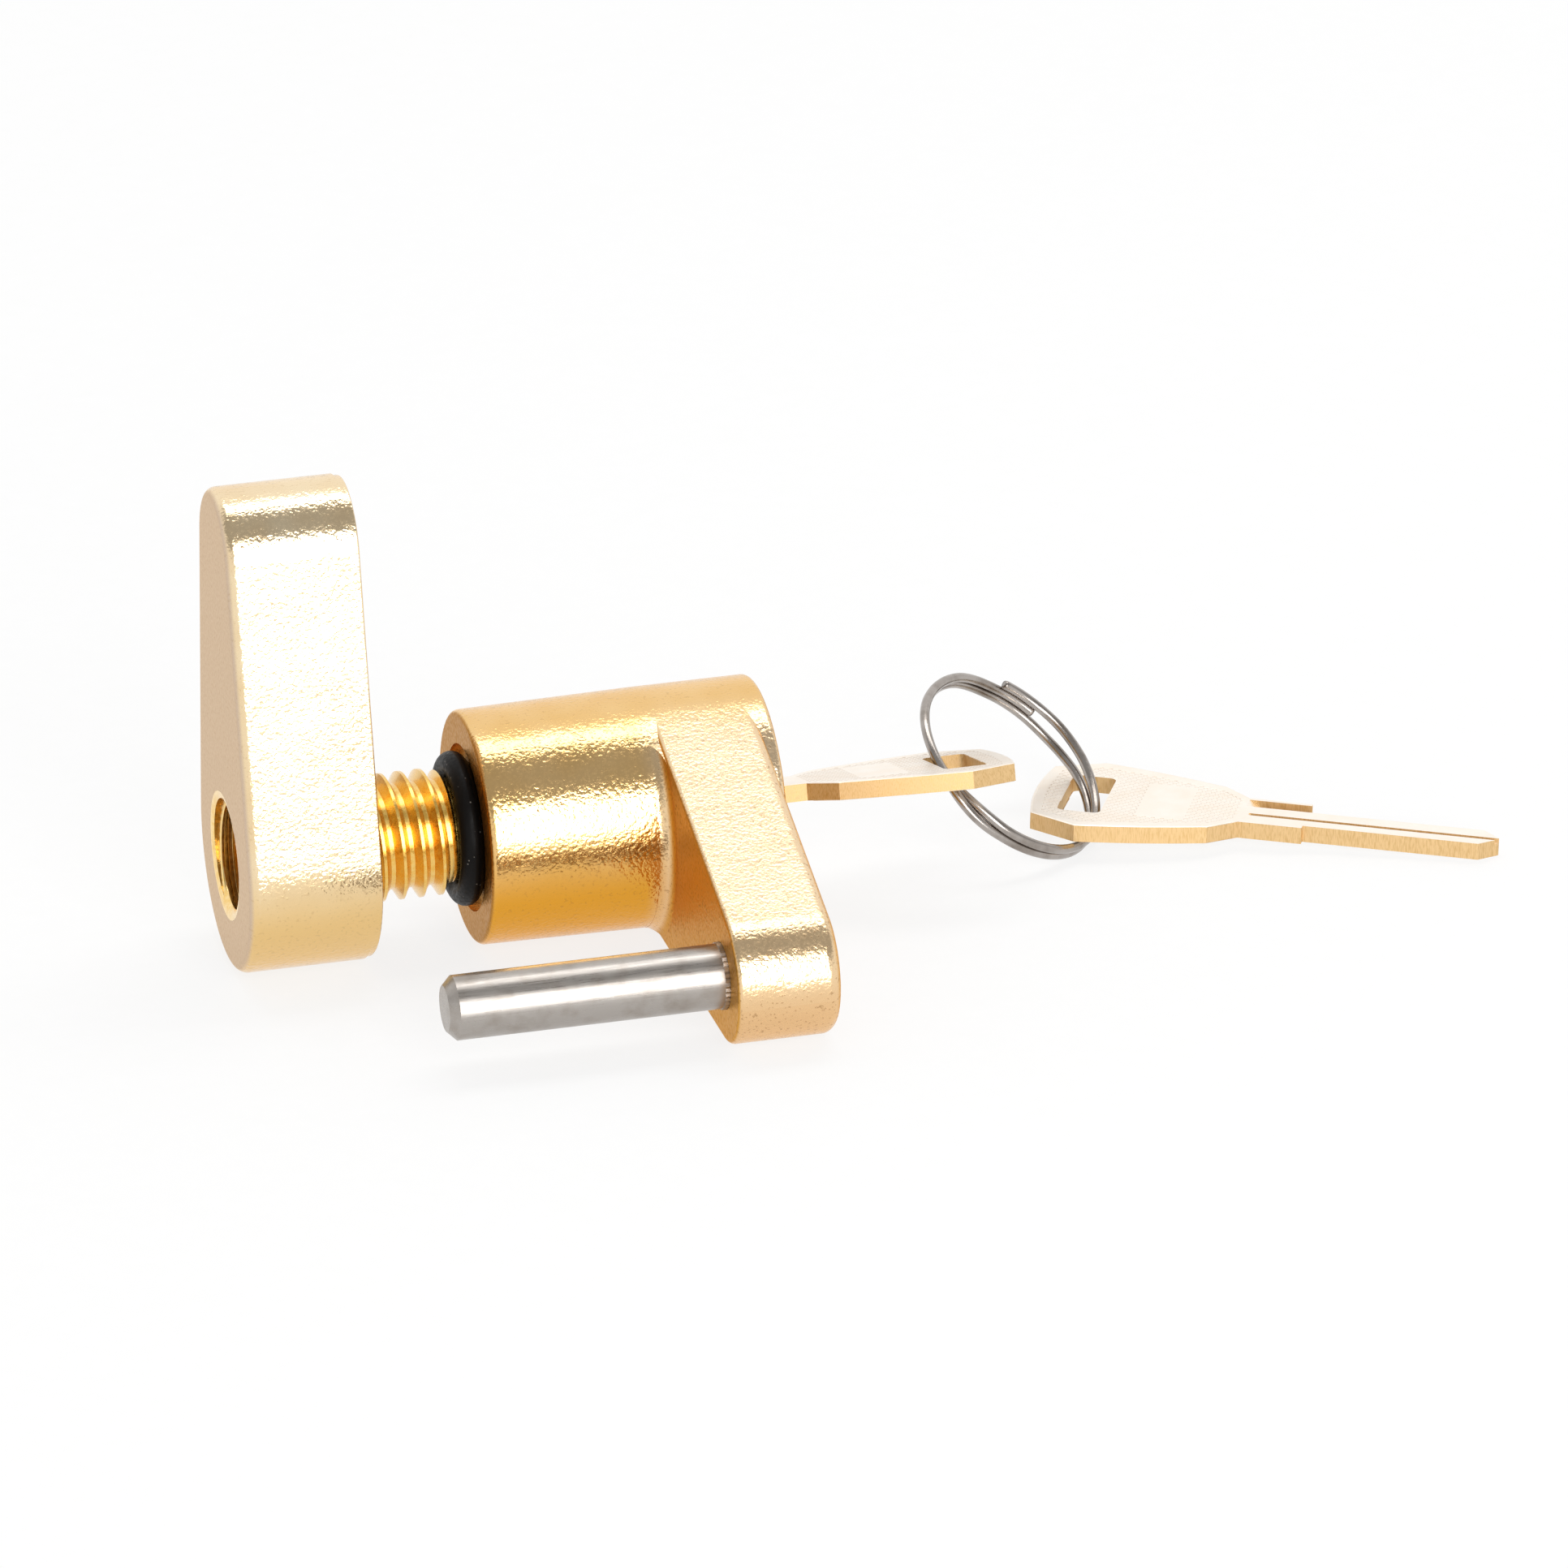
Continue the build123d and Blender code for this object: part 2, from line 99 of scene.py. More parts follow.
def cloudedColour(tree, source, span, first, last):
    # colour that goes from first to last as a noise's value crosses the span
    share = add(tree, "ShaderNodeMapRange", {"Value": source}, fromTo(span, 0.0, 1.0))
    ends = {"A": linear(first), "B": linear(last)}
    return add(tree, "ShaderNodeMix", {"Factor": share.outputs[0]}, ends, **asColour).outputs["Result"]


castGold = {
    "face": "edc17a", "pale": "f2ca8a", "stain": "8f6228",
    "lowReflection": "e4a01a",  # lower sides: painted reflection, faces turned down drawn a deeper gold, as if mirroring the lock's own gold parts and the shaded floor
    "endShade": "b07a2e",  # ends: painted shade, faces turned along x drawn darker; they are also rougher
    "armSide": "d99f42",  # the arm's own flat sides: the same painted shade, a little lighter
    "armHighlight": "f0dcc2",  # the arm keeps more of the shot-blast skin, duller and more speckled; its paler colour is a painted highlight
    # where the arm's shot-blast skin and its painted highlight begin and are full in mm: along x, and along
    # y at the barrel and at the tip
    "frostFrom": (11.0, 14.5), "frostBehind": (22.0, 30.0), "frostAhead": (-5.0, 1.0),
    "frostLeast": 0.75, "armHighlightShare": 0.6, "frostRough": 0.08, "frostSpeck": 0.32,
    # mm: orange peel, blast pits drawn coarser than they are so that they show, slow unevenness
    "skin": 0.9, "pit": 0.35, "wave": 5.0, "skinDepth": 0.026, "pitDepth": 0.05, "waveDepth": 0.07,
    "lowSides": (-0.4, 0.35), "ends": (0.55, 0.95),  # how far a face turns up, or along x
    "speck": 0.2, "peaks": (0.6, 0.74),
    "rough": (0.12, 0.24), "dullRough": 0.16,
    "coat": 0.42, "coatRough": 0.14, "coatIor": 1.6, "edge": "fff0da",
}
paleGold = dict(
    castGold, face="efd4a8", pale="f5e0ba", stain="b08a50", lowReflection="e9c27c", endShade="d0baa4", coat=0.8,
    frostFrom=(90.0, 91.0),  # the block is clear of the arm's shot-blast skin and painted highlight
)


def goldPlatedZinc(name, look):
    # bright brass-coloured plate over a die casting: mirror-like, with the casting's skin showing through
    made, tree = newMaterial(name)
    coords = add(tree, "ShaderNodeTexCoord")
    place = coords.outputs["Object"]
    where = add(tree, "ShaderNodeSeparateXYZ", {"Vector": place}).outputs
    facing = add(tree, "ShaderNodeSeparateXYZ", {"Vector": coords.outputs["Normal"]}).outputs
    sideways = add(tree, "ShaderNodeMath", {0: facing["X"]}, operation="ABSOLUTE").outputs[0]
    skin = add(tree, "ShaderNodeTexNoise", {"Vector": place}, sized(look["skin"], 2.0))
    pit = add(tree, "ShaderNodeTexNoise", {"Vector": place}, sized(look["pit"], 1.0))
    wave = add(tree, "ShaderNodeTexNoise", {"Vector": place}, sized(look["wave"], 1.0))

    frostAlong = fromTo(metres(look["frostFrom"]), 0.0, 1.0)
    frostBehind = fromTo(metres(look["frostBehind"]), 1.0, 0.0)
    frostAhead = fromTo(metres(look["frostAhead"]), look["frostLeast"], 1.0)
    along = add(tree, "ShaderNodeMapRange", {"Value": where["X"]}, frostAlong, **softly).outputs[0]
    behind = add(tree, "ShaderNodeMapRange", {"Value": where["Y"]}, frostBehind, **softly).outputs[0]
    ahead = add(tree, "ShaderNodeMapRange", {"Value": where["Y"]}, frostAhead, **softly).outputs[0]
    onArm = add(tree, "ShaderNodeMath", {0: along, 1: behind}, **times).outputs[0]
    frostAndHighlight = add(tree, "ShaderNodeMath", {0: ahead, 1: onArm}, **times).outputs[0]

    tint = cloudedColour(tree, wave.outputs["Fac"], cloudSpan, look["face"], look["pale"])
    # painted reflection: the more a face turns down, the deeper the gold it is drawn
    lowSides = fromTo(look["lowSides"], 1.0, 0.0)
    low = add(tree, "ShaderNodeMapRange", {"Value": facing["Z"]}, lowSides, **softly).outputs[0]
    deep = {"B": linear(look["lowReflection"])}
    reflectedLow = add(tree, "ShaderNodeMix", {"Factor": low, "A": tint}, deep, **asColour).outputs["Result"]
    # painted highlight: the arm's top face and tip drawn paler, as if lit brighter
    paler = add(tree, "ShaderNodeMath", {0: frostAndHighlight}, {1: look["armHighlightShare"]}, **times).outputs[0]
    armHighlight = {"B": linear(look["armHighlight"])}
    armHighlighted = add(tree, "ShaderNodeMix", {"Factor": paler, "A": reflectedLow}, armHighlight, **asColour).outputs["Result"]
    # painted shade: faces turned along x drawn darker, the arm's flat sides a little less; the same mask
    # makes them rougher
    flat = {"A": linear(look["endShade"]), "B": linear(look["armSide"])}
    endShadeColour = add(tree, "ShaderNodeMix", {"Factor": onArm}, flat, **asColour).outputs["Result"]
    ends = fromTo(look["ends"], 0.0, 1.0)
    endShadeAndDull = add(tree, "ShaderNodeMapRange", {"Value": sideways}, ends, **softly).outputs[0]
    endShaded = {"Factor": endShadeAndDull, "A": armHighlighted, "B": endShadeColour}
    endShaded = add(tree, "ShaderNodeMix", endShaded, **asColour).outputs["Result"]
    pits = pit.outputs["Fac"]
    peaks = add(tree, "ShaderNodeMapRange", {"Value": pits}, fromTo(look["peaks"], 0.0, 1.0), **softly)
    speckShare = fromTo((0.0, 1.0), look["speck"], look["speck"] + look["frostSpeck"])
    share = add(tree, "ShaderNodeMapRange", {"Value": frostAndHighlight}, speckShare, **softly)
    speck = add(tree, "ShaderNodeMath", {0: peaks.outputs[0], 1: share.outputs[0]}, **times).outputs[0]
    stain = {"B": linear(look["stain"])}
    colour = add(tree, "ShaderNodeMix", {"Factor": speck, "A": endShaded}, stain, **asColour)

    shine = add(tree, "ShaderNodeMapRange", {"Value": pits}, fromTo(cloudSpan, *look["rough"]), **softly)
    duller = add(tree, "ShaderNodeMath", {0: endShadeAndDull}, {1: look["dullRough"]}, **times)
    frosting = add(tree, "ShaderNodeMath", {0: frostAndHighlight}, {1: look["frostRough"]}, **times)
    rough = add(tree, "ShaderNodeMath", {0: shine.outputs[0], 1: duller.outputs[0]}, **plus)
    rough = add(tree, "ShaderNodeMath", {0: rough.outputs[0], 1: frosting.outputs[0]}, **plus)
    coatSpan = fromTo(look["ends"], look["coat"], 0.0)
    coat = add(tree, "ShaderNodeMapRange", {"Value": sideways}, coatSpan, **softly).outputs[0]
    bumps = None
    for source, depth in ((wave, "waveDepth"), (skin, "skinDepth"), (pit, "pitDepth")):
        links = {"Height": source.outputs["Fac"]}
        if bumps:
            links["Normal"] = bumps.outputs["Normal"]
        bumps = add(tree, "ShaderNodeBump", links, relief(look[depth]))
    shader = add(tree, "ShaderNodeBsdfPrincipled", {
        "Base Color": colour.outputs["Result"], "Roughness": rough.outputs[0], "Coat Weight": coat,
        "Normal": bumps.outputs["Normal"], "Coat Normal": bumps.outputs["Normal"],
    }, {
        "Metallic": 1.0, "Coat Roughness": look["coatRough"], "Coat IOR": look["coatIor"],
        "Specular Tint": linear(look["edge"]),
    })
    close(tree, shader)
    return made


yellowBolt = {
    "face": "f0bd54", "pale": "f6cf76",  # yellow chromate over zinc: deep orange gold, glossy
    "skin": 0.5, "skinDepth": 0.006, "rough": (0.22, 0.34), "coat": 0.6, "coatRough": 0.1,
}
turnedBrass = {
    "face": "d8b06a", "pale": "e6c587",  # bare inner parts with an oily sheen
    "skin": 0.4, "skinDepth": 0.001, "rough": (0.2, 0.32), "coat": 0.0, "coatRough": 0.1,
}
brightSteel = dict(turnedBrass, face="b9b6b2", pale="cfccc8")


def turnedMetal(name, look):
    # lathe-turned part: even colour, faint marks, satin where the tool passed
    made, tree = newMaterial(name)
    place = add(tree, "ShaderNodeTexCoord").outputs["Object"]
    skin = add(tree, "ShaderNodeTexNoise", {"Vector": place}, sized(look["skin"], 2.0))
    skin = skin.outputs["Fac"]
    tint = cloudedColour(tree, skin, cloudSpan, look["face"], look["pale"])
    rough = add(tree, "ShaderNodeMapRange", {"Value": skin}, fromTo(noiseSpan, *look["rough"]), **softly)
    bump = add(tree, "ShaderNodeBump", {"Height": skin}, relief(look["skinDepth"]))
    shader = add(tree, "ShaderNodeBsdfPrincipled", {
        "Base Color": tint, "Roughness": rough.outputs[0], "Normal": bump.outputs["Normal"],
    }, {"Metallic": 1.0, "Coat Weight": look["coat"], "Coat Roughness": look["coatRough"]})
    close(tree, shader)
    return made


groundPin = {
    "face": "aea8a2", "stain": "9c938a", "along": (0.05, 1.0, 1.0),  # grinding marks drawn out along x
    "streak": 0.18, "stainSize": 2.0, "depth": 0.005, "rough": (0.26, 0.38), "stained": (0.45, 0.78),
}
ringWire = {
    "face": "aea7a1", "stain": "857b72", "along": (1.0, 1.0, 1.0),
    "streak": 0.12, "stainSize": 2.5, "depth": 0.001, "rough": (0.14, 0.26), "stained": (0.45, 0.78),
}


def groundSteel(name, look):
    # ground or drawn steel: fine marks, a faint brown storage stain
    made, tree = newMaterial(name)
    place = add(tree, "ShaderNodeTexCoord").outputs["Object"]
    drawn = add(tree, "ShaderNodeMapping", {"Vector": place}, {"Scale": look["along"]}).outputs["Vector"]
    marks = add(tree, "ShaderNodeTexNoise", {"Vector": drawn}, sized(look["streak"], 3.0))
    marks = marks.outputs["Fac"]
    cloud = add(tree, "ShaderNodeTexNoise", {"Vector": place}, sized(look["stainSize"], 4.0))
    tint = cloudedColour(tree, cloud.outputs["Fac"], look["stained"], look["face"], look["stain"])
    rough = add(tree, "ShaderNodeMapRange", {"Value": marks}, fromTo(noiseSpan, *look["rough"]), **softly)
    bump = add(tree, "ShaderNodeBump", {"Height": marks}, relief(look["depth"]))
    shader = add(tree, "ShaderNodeBsdfPrincipled", {
        "Base Color": tint, "Roughness": rough.outputs[0], "Normal": bump.outputs["Normal"],
    }, {"Metallic": 1.0})
    close(tree, shader)
    return made


keyStock = {
    "face": "fdf2e4", "pale": "fff8ee", "deep": "e9cb9a", "ochre": "d8b47c", "hollowShade": "b08c62",
    "cloud": 3.5, "mark": 0.1, "depth": 0.003,  # mm
    "upright": 0.12,  # tool marks are this much slower along z
    "faceEdge": (0.35, 0.75),  # how far a face looks up or down, from sheared edge to flat face
    "rough": (0.3, 0.46), "shearRough": 0.24, "sheared": (0.36, 0.56),
}


def keyBrass(look):
    # blanked brass sheet, lightly tumbled: satin faces, upright tool marks on the sheared edges
    made, tree = newMaterial("blanked_key_brass")
    coords = add(tree, "ShaderNodeTexCoord")
    place = coords.outputs["Object"]
    upright = add(tree, "ShaderNodeMapping", {"Vector": place}, {"Scale": (1.0, 1.0, look["upright"])})
    upright = upright.outputs["Vector"]
    marks = add(tree, "ShaderNodeTexNoise", {"Vector": upright}, sized(look["mark"], 2.0))
    marks = marks.outputs["Fac"]
    cloud = add(tree, "ShaderNodeTexNoise", {"Vector": place}, sized(look["cloud"], 3.0))
    tint = cloudedColour(tree, cloud.outputs["Fac"], cloudSpan, look["face"], look["pale"])
    shear = cloudedColour(tree, marks, look["sheared"], look["ochre"], look["deep"])
    facing = add(tree, "ShaderNodeSeparateXYZ", {"Vector": coords.outputs["Normal"]})
    upness = add(tree, "ShaderNodeMath", {0: facing.outputs["Z"]}, operation="ABSOLUTE").outputs[0]
    edges = fromTo(look["faceEdge"], 1.0, 0.0)
    side = add(tree, "ShaderNodeMapRange", {"Value": upness}, edges, **softly).outputs[0]
    # painted shade: the dimples are drawn darker, where shade falls in them
    hollowShade = add(tree, "ShaderNodeAttribute", attribute_name="hollowShade").outputs["Fac"]
    dark = {"B": linear(look["hollowShade"])}
    dimpleShaded = add(tree, "ShaderNodeMix", {"Factor": hollowShade, "A": tint}, dark, **asColour).outputs["Result"]
    colour = add(tree, "ShaderNodeMix", {"Factor": side, "A": dimpleShaded, "B": shear}, **asColour)
    satin = add(tree, "ShaderNodeMapRange", {"Value": marks}, fromTo(noiseSpan, *look["rough"]), **softly)
    sheared = add(tree, "ShaderNodeMath", {0: side}, {1: look["shearRough"]}, **times)
    rough = add(tree, "ShaderNodeMath", {0: satin.outputs[0], 1: sheared.outputs[0]}, **plus)
    bump = add(tree, "ShaderNodeBump", {"Height": marks}, relief(look["depth"]))
    shader = add(tree, "ShaderNodeBsdfPrincipled", {
        "Base Color": colour.outputs["Result"], "Roughness": rough.outputs[0],
        "Normal": bump.outputs["Normal"],
    }, {"Metallic": 1.0})
    close(tree, shader)
    return made


sealSkin = {
    "face": "0c0a09", "dust": "77736c", "grain": 0.35, "lint": 0.9, "depth": 0.006,  # mm
    "lintEdge": (0.05, 0.12), "lintShare": 0.85, "rough": (0.36, 0.55), "ior": 1.52, "gloss": 0.12,
}


def nitrileRubber(look):
    # moulded black nitrile: soft grey sheen, fine skin, a few specks of lint
    made, tree = newMaterial("moulded_nitrile_rubber")
    place = add(tree, "ShaderNodeTexCoord").outputs["Object"]
    grain = add(tree, "ShaderNodeTexNoise", {"Vector": place}, sized(look["grain"], 3.0))
    grain = grain.outputs["Fac"]
    cells = add(tree, "ShaderNodeTexVoronoi", {"Vector": place}, sized(look["lint"], 0.0))
    lintShare = fromTo(look["lintEdge"], look["lintShare"], 0.0)
    lint = add(tree, "ShaderNodeMapRange", {"Value": cells.outputs["Distance"]}, lintShare, **softly)
    ends = {"A": linear(look["face"]), "B": linear(look["dust"])}
    colour = add(tree, "ShaderNodeMix", {"Factor": lint.outputs[0]}, ends, **asColour)
    rough = add(tree, "ShaderNodeMapRange", {"Value": grain}, fromTo(noiseSpan, *look["rough"]), **softly)
    bump = add(tree, "ShaderNodeBump", {"Height": grain}, relief(look["depth"]))
    shader = add(tree, "ShaderNodeBsdfPrincipled", {
        "Base Color": colour.outputs["Result"], "Roughness": rough.outputs[0],
        "Normal": bump.outputs["Normal"],
    }, {"Metallic": 0.0, "IOR": look["ior"], "Specular IOR Level": look["gloss"]})
    close(tree, shader)
    return made


finishes = {
    "plated_zinc": goldPlatedZinc("gold_plated_zinc_casting", castGold),
    "plated_bolt": turnedMetal("yellow_chromate_steel", yellowBolt),
    "pin_steel": groundSteel("ground_pin_steel", groundPin),
    "seal_rubber": nitrileRubber(sealSkin),
    "key_brass": keyBrass(keyStock),
    "ring_steel": groundSteel("drawn_ring_wire", ringWire),
    "inner_brass": turnedMetal("turned_brass", turnedBrass),
    "inner_steel": turnedMetal("bright_steel", brightSteel),
    "spring_steel": turnedMetal("spring_wire_steel", brightSteel),
}
for node in nodes.values():
    node.data.materials[0] = finishes[node.data.materials[0].name.split(".")[0]]
nodes["clamp_block"].data.materials[0] = goldPlatedZinc("pale_gold_plated_zinc_casting", paleGold)
print("finishes given to", len(nodes), "fixed parts")


def meshFrom(name, points, faces, material):
    mesh = bpy.data.meshes.new(name)
    mesh.from_pydata(points.tolist(), [], faces)
    mesh.polygons.foreach_set("use_smooth", np.ones(len(mesh.polygons), bool))
    mesh.materials.append(material)
    mesh.update()
    made = bpy.data.objects.new(name, mesh)
    bpy.context.collection.objects.link(made)
    return made


def gridMesh(name, points, material, caps=False):
    # points is an array (rows, columns, 3) in metres: neighbours share a face, each row closes on itself
    rows, columns = points.shape[:2]
    index = np.arange(rows * columns).reshape(rows, columns)
    loop = np.hstack([index, index[:, :1]])
    quads = np.stack([loop[:-1, :-1], loop[1:, :-1], loop[1:, 1:], loop[:-1, 1:]], -1)
    faces = quads.reshape(-1, 4).tolist()
    if caps:
        faces += [index[0].tolist(), index[-1][::-1].tolist()]
    return meshFrom(name, points.reshape(-1, 3), faces, material)


def smooth(t):
    # 3 t^2 - 2 t^3: from 0 to 1, level at both ends
    t = np.clip(t, 0, 1)
    return t * t * (3 - 2 * t)


def easedThrough(at, knots, width):
    # straight lines from knot to knot, rounded off by a running bell-shaped average over width places
    values = np.interp(at, [k[0] for k in knots], [k[1] for k in knots])
    bell = np.hanning(width + 2)[1:-1]
    padded = np.pad(values, width // 2, mode="edge")
    return np.convolve(padded, bell / bell.sum(), mode="valid")


ring = {
    "centre": (52.99, 38.94, 1.26), "normal": (0.5417, -0.3994, 0.7396),
    "radius": 10.58, "wire": 0.95,
    "firstEnd": 80.0, "sweep": 744.0,  # degrees: place of the first cut end, whole turn of the wire
    "steps": 760, "round": 20, "ease": 19,
    # degrees along the wire, then how far the coil stands off the middle in mm, and which way in degrees
    # from the normal: the coils gape beside the cut ends, lie close elsewhere, and change sides once a turn
    "apart": [
        (0, 0.98), (24, 0.99), (40, 1.08), (62, 1.0), (80, 0.72), (98, 0.48), (328, 0.48),
        (352, 0.95), (384, 0.99), (397, 1.04), (411, 0.82), (425, 0.52), (439, 0.48), (690, 0.48),
        (714, 0.03), (744, 0.03),
    ],
    "twist": [
        (0, 0), (192, 0), (226, -95), (244, -124), (260, -130), (280, -145), (300, -171),
        (310, -180), (552, -180), (586, -275), (604, -304), (620, -310), (640, -325), (660, -351),
        (670, -360), (744, -360),
    ],
    "endRadius": (0.86, 0.98),  # share of the full radius at the first rows of each cut end
}


def makeRing(look):
    # wire of round section carried along a circle of two turns and a bit;
    # centre = c + (R + out(s)) (cos a, sin a) + side(s) normal, with a falling as s grows,
    # side = apart(s) cos(twist(s)) and out = apart(s) sin(twist(s))
    normal = np.array(look["normal"]) / np.linalg.norm(look["normal"])
    across = np.array([1.0, 0, 0]) - normal[0] * normal
    across /= np.linalg.norm(across)
    second = np.cross(normal, across)
    s = np.linspace(0, look["sweep"], look["steps"])
    angle = np.radians(look["firstEnd"] - s)
    apart = easedThrough(s, look["apart"], look["ease"])
    twist = np.radians(easedThrough(s, look["twist"], look["ease"]))
    outward = np.cos(angle)[:, None] * across + np.sin(angle)[:, None] * second
    path = np.array(look["centre"]) + outward * (look["radius"] + apart * np.sin(twist))[:, None]
    path += normal * (apart * np.cos(twist))[:, None]
    tangent = np.gradient(path, axis=0)
    tangent /= np.linalg.norm(tangent, axis=1)[:, None]
    one = outward - tangent * np.sum(outward * tangent, 1)[:, None]
    one /= np.linalg.norm(one, axis=1)[:, None]
    two = np.cross(tangent, one)
    turn = np.linspace(0, 2 * np.pi, look["round"], endpoint=False)
    girth = np.cos(turn)[None, :, None] * one[:, None] + np.sin(turn)[None, :, None] * two[:, None]
    radius = np.full(len(s), look["wire"] / 2)
    for row, share in enumerate(look["endRadius"]):
        radius[[row, -1 - row]] *= share  # cut ends lose their sharp corner
    points = path[:, None] + girth * radius[:, None, None]
    return gridMesh("split_ring_wire", points * mm, finishes["ring_steel"], caps=True)


ringWireObject = makeRing(ring)
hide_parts("key_ring")
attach(ringWireObject, "ring")
print("split ring made")


key = {
    "thickness": 1.7, "length": 20.2, "bulge": 0.7, "bulgeFade": 6,
    "edge": [(0.0, 6.6), (4.8, 8.9), (11.0, 7.6), (17.6, 5.75), (20.3, 3.4)],  # half width against place
    "hole": (2.2, 6.6, 4.9), "panel": (10.0, 14.95, 4.6),  # from, to, half width
    "rim": 1.15, "rimHeight": 0.055, "floorHeight": 0.03, "panelHeight": 0.05,
    "dimple": 0.92, "dimpleDepth": 0.045, "dimpleFrom": 0.05, "dimpleRise": 0.6, "dimpleShadeAmount": 1.0,
    "step": 0.16, "sink": 0.03, "sideGap": 0.02, "endGap": 0.03, "slant": 0.95,
    "edgeFade": 0.14, "endFade": 0.5, "dimpleShadeFade": 0.2, "lap": 0.02,
    "rows": 270, "columns": 220,
}


def turnedAxes(roll, pitch, yaw):
    # where x and y point after a turn in degrees about z, then y, then x
    turn = Matrix.Rotation(math.radians(roll), 3, "X") @ Matrix.Rotation(math.radians(pitch), 3, "Y")
    turn = turn @ Matrix.Rotation(math.radians(yaw), 3, "Z")
    return tuple(turn.col[0]), tuple(turn.col[1])


keyLean = math.radians(16)  # the lock key's bow about its own length
keySeats = {
    # middle of the bow's end in mm, the way its length runs, the way its width runs
    "lock_key": ((49.73, 30.726, 5.12), (-1, 0, 0), (0, math.cos(keyLean), -math.sin(keyLean))),
    "spare_key": ((57.28, 42.09, -3.95), *turnedAxes(-1.2, 3.1, -26.1)),
}


def boxDistance(u, v, low, high, half):
    # signed distance to a rectangle, negative inside
    du = np.abs(u - (low + high) / 2) - (high - low) / 2
    dv = np.abs(v) - half
    return np.where((du > 0) & (dv > 0), np.hypot(du, dv), np.maximum(du, dv))


def keyRelief(name, seat, face, look):
    # coined skin on one face of the bow: z = height over (u, v), v running across the bow's own width;
    # smooth rim, sunk field of dimples (product of two cosines), raised plain panel, sinking at every edge
    origin, uAxis, vAxis = (np.array(part, float) for part in seat)
    zAxis = np.cross(uAxis, vAxis) * face
    a = np.linspace(0, 1, look["rows"])[:, None]
    b = np.linspace(-1, 1, look["columns"])[None, :]
    u = look["length"] * a + 0 * b
    half = np.interp(u, [k[0] for k in look["edge"]], [k[1] for k in look["edge"]])
    v = b * (half - look["sideGap"])
    bulge = look["bulge"] * (1 - b * b)
    u = u - bulge * (1 - a) ** look["bulgeFade"] + look["endGap"] * (1 - a)
    toEdge = np.minimum((half - np.abs(v)) * look["slant"], u + bulge)
    hole = boxDistance(u, v, *look["hole"])
    onPanel = smooth(0.5 - boxDistance(u, v, *look["panel"]) / look["step"])
    phase = 2 * np.pi / look["dimple"]
    dimples = smooth((np.cos(phase * u) * np.cos(phase * v) - look["dimpleFrom"]) / look["dimpleRise"])
    field = look["floorHeight"] - look["dimpleDepth"] * dimples
    inRim = smooth((toEdge - look["rim"]) / look["step"])
    height = look["rimHeight"] + (field - look["rimHeight"]) * inRim
    height += (look["panelHeight"] - height) * onPanel
    edgeFade = smooth(np.minimum(toEdge, hole) / look["edgeFade"])
    endFade = smooth((look["length"] - u) / look["endFade"])
    height = (height + look["sink"]) * edgeFade * endFade - look["sink"] + look["thickness"] / 2
    points = origin + u[..., None] * uAxis + v[..., None] * vAxis + height[..., None] * zAxis
    index = np.arange(u.size).reshape(u.shape)
    quads = np.stack([index[:-1, :-1], index[1:, :-1], index[1:, 1:], index[:-1, 1:]], -1)
    kept = quads[hole[:-1, :-1] > -look["lap"]]
    if face < 0:
        kept = kept[:, ::-1]
    made = meshFrom(name, points.reshape(-1, 3) * mm, kept.tolist(), finishes["key_brass"])
    # painted shade: how much darker each dimple is drawn, none on the rim and the panel
    inField = inRim * (1 - onPanel) * smooth(np.minimum(toEdge, hole) / look["dimpleShadeFade"])
    hollowShade = made.data.attributes.new("hollowShade", "FLOAT", "POINT")
    hollowShade.data.foreach_set("value", (look["dimpleShadeAmount"] * dimples * inField).ravel().astype(np.float32))
    return made


for node, body in (("lock_key", "key"), ("spare_key", "spare")):
    for side, face in (("front", 1), ("back", -1)):
        skin = keyRelief(node + "_coined_" + side, keySeats[node], face, key)
        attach(skin, body)
print("key faces made")


tap = {
    "back": -28.35, "axis": (30.726, 5.12), "depth": 3.2,  # mm: outer face, middle of the hole, how far in
    "pitch": 25.4 / 13, "crest": 5.267, "root": 6.338, "rootHalf": 0.213, "flank": 30,
    "lead": -0.005,  # turns from the face to the groove's middle
    "mouth": 6.41, "rounding": 0.75, "threadFrom": 0.225, "proud": 0.012,
    "rows": 120, "columns": 240,
    # painted light: the thread's plate is drawn paler than the casting's gold, so the inside of the hole
    # looks lit
    "face": "f6cd7c", "pale": "ffe0a2", "skin": 0.5, "skinDepth": 0.004, "rough": (0.14, 0.26),
    "coat": 0.0, "coatRough": 0.1,
}


def makeTap(look):
    # thread cut into the hole: radius over (depth, angle) falls from groove to crest along two straight
    # flanks, the groove winds once round per pitch, and a rounded mouth takes over where it is wider
    depth = np.linspace(0, look["depth"], look["rows"])[:, None]
    angle = np.linspace(0, 2 * np.pi, look["columns"], endpoint=False)[None, :]
    turns = depth / look["pitch"] - angle / (2 * np.pi) - look["lead"]
    offGroove = np.abs(turns - np.round(turns)) * look["pitch"]
    flank = look["root"] - (offGroove - look["rootHalf"]) / math.tan(math.radians(look["flank"]))
    thread = np.clip(flank, look["crest"], look["root"]) * (depth > look["threadFrom"])
    inside = np.clip(1 - depth / look["rounding"], 0, 1)
    mouth = look["crest"] + (look["mouth"] - look["crest"]) * (1 - np.sqrt(1 - inside ** 2))
    radius = np.maximum(thread, mouth) - look["proud"]
    points = np.stack([
        look["back"] + depth + 0 * angle,
        look["axis"][0] + radius * np.cos(angle),
        look["axis"][1] + radius * np.sin(angle),
    ], -1)
    return gridMesh("tapped_hole_thread", points * mm, turnedMetal("tapped_gold_plate", look))


tapped = makeTap(tap)
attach(tapped, "clamp_block")
print("tapped hole made")


stage = {
    "floorHeight": -6.72, "floorSize": 8000.0, "white": "f7f7f6", "paler": "fafafa", "tooth": 2.0,
    "matt": 0.9, "gloss": 0.1, "clean": 0.8,
}


def plane(name, corners, material):
    return meshFrom(name, np.array(corners, float) * mm, [[0, 1, 2, 3]], material)


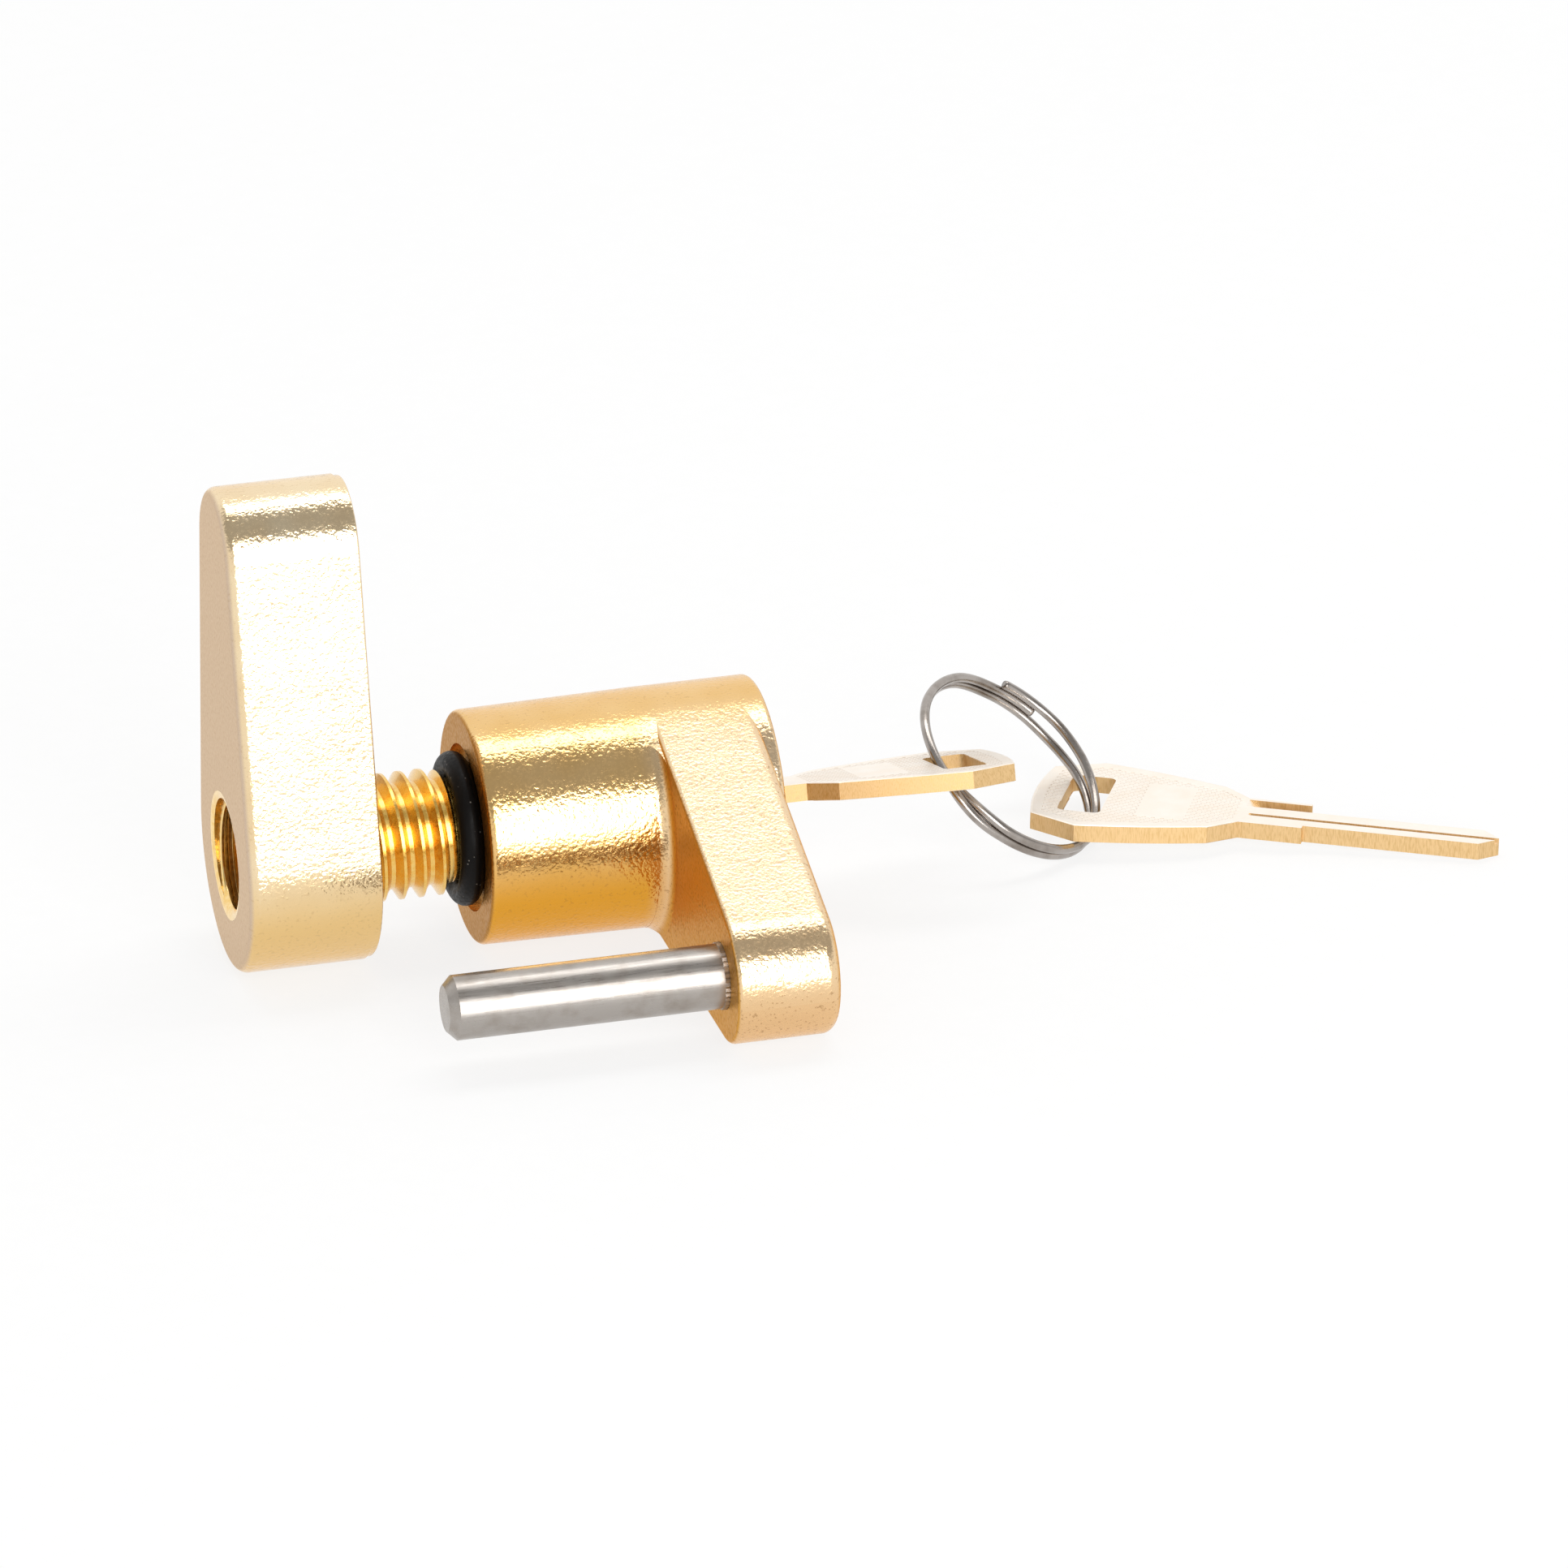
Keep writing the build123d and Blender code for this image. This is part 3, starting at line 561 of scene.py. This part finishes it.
def floorPaper(look):
    # matt white paper sweep with a barely visible tooth
    made, tree = newMaterial("matt_white_paper")
    place = add(tree, "ShaderNodeTexCoord").outputs["Object"]
    tooth = add(tree, "ShaderNodeTexNoise", {"Vector": place}, sized(look["tooth"], 2.0))
    tint = cloudedColour(tree, tooth.outputs["Fac"], noiseSpan, look["white"], look["paler"])
    skin = {"Roughness": look["matt"], "Specular IOR Level": look["gloss"]}
    matt = add(tree, "ShaderNodeBsdfPrincipled", {"Base Color": tint}, skin).outputs[0]
    clean = add(tree, "ShaderNodeEmission", None, {"Color": (1, 1, 1, 1), "Strength": 1.0}).outputs[0]
    rays = add(tree, "ShaderNodeLightPath").outputs
    seen = add(tree, "ShaderNodeMath", {0: rays["Is Camera Ray"], 1: rays["Is Glossy Ray"]}, **most)
    seen = add(tree, "ShaderNodeMath", {0: seen.outputs[0], 1: rays["Is Transmission Ray"]}, **most)
    share = add(tree, "ShaderNodeMath", {0: seen.outputs[0]}, {1: look["clean"]}, **times)
    shader = add(tree, "ShaderNodeMixShader", {0: share.outputs[0], 1: matt, 2: clean})
    close(tree, shader)
    return made


reach = stage["floorSize"] / 2
corners = [(x * reach, y * reach, stage["floorHeight"]) for x, y in ((-1, -1), (1, -1), (1, 1), (-1, 1))]
floor = plane("floor", corners, floorPaper(stage))

softboxes = {
    # corners in mm, glow 1 = as bright as white paper
    "front": {
        "glow": 6.4, "corners": [(-80, -720, -5), (250, -720, -5), (250, -620, 520), (-80, -620, 520)],
    },
    "top": {
        "glow": 3.6, "corners": [(-160, 70, 800), (640, 70, 800), (640, 330, 770), (-160, 330, 770)],
    },
}


def glowPanel(name, look):
    made, tree = newMaterial(name + "_diffuser")
    close(tree, add(tree, "ShaderNodeEmission", None, {"Color": (1, 1, 1, 1), "Strength": look["glow"]}))
    panel = plane(name + "_softbox", look["corners"], made)
    panel.visible_camera = False


for name, look in softboxes.items():
    glowPanel(name, look)

tent = {
    "wall": 1.0, "roof": 0.42,
    "lowEdge": (0.15, 0.55), "backEdge": (-0.05, 0.45),  # where wall meets roof, going up and going back
}
world = bpy.data.worlds.new("studio_tent")
bpy.context.scene.world = world
world.use_nodes = True
sky = world.node_tree
sky.nodes.clear()
toward = add(sky, "ShaderNodeTexCoord").outputs["Generated"]
toward = add(sky, "ShaderNodeSeparateXYZ", {"Vector": toward}).outputs
lowEdge = fromTo(tent["lowEdge"], 1.0, 0.0)
backEdge = fromTo(tent["backEdge"], 0.0, 1.0)
lowWall = add(sky, "ShaderNodeMapRange", {"Value": toward["Z"]}, lowEdge, **softly).outputs[0]
backWall = add(sky, "ShaderNodeMapRange", {"Value": toward["Y"]}, backEdge, **softly).outputs[0]
wall = add(sky, "ShaderNodeMath", {0: lowWall, 1: backWall}, **most).outputs[0]
strength = add(sky, "ShaderNodeMapRange", {"Value": wall}, fromTo((0.0, 1.0), tent["roof"], tent["wall"]))
back = add(sky, "ShaderNodeBackground", {"Strength": strength.outputs[0]}, {"Color": (1, 1, 1, 1)})
add(sky, "ShaderNodeOutputWorld", {"Surface": back.outputs[0]})

view = {
    "place": (-305.82, -1303.89, 592.59), "forward": (0.22314, 0.89234, -0.39236),
    "right": (0.96816, -0.24973, -0.01735), "lens": 349.61, "sensor": 36.0,
    "near": 0.01, "far": 50.0,  # m
}
cameraData = bpy.data.cameras.new("camera")
cameraData.lens = view["lens"]
cameraData.sensor_width = view["sensor"]
cameraData.clip_start = view["near"]
cameraData.clip_end = view["far"]
camera = bpy.data.objects.new("camera", cameraData)
bpy.context.collection.objects.link(camera)
forward = Vector(view["forward"]).normalized()
right = Vector(view["right"]).normalized()
turned = Matrix((right, right.cross(forward), -forward)).transposed().to_4x4()
camera.matrix_world = Matrix.Translation(Vector(view["place"]) * mm) @ turned
bpy.context.scene.camera = camera
bpy.context.scene.view_settings.view_transform = "Standard"
print("stage, light and camera set")
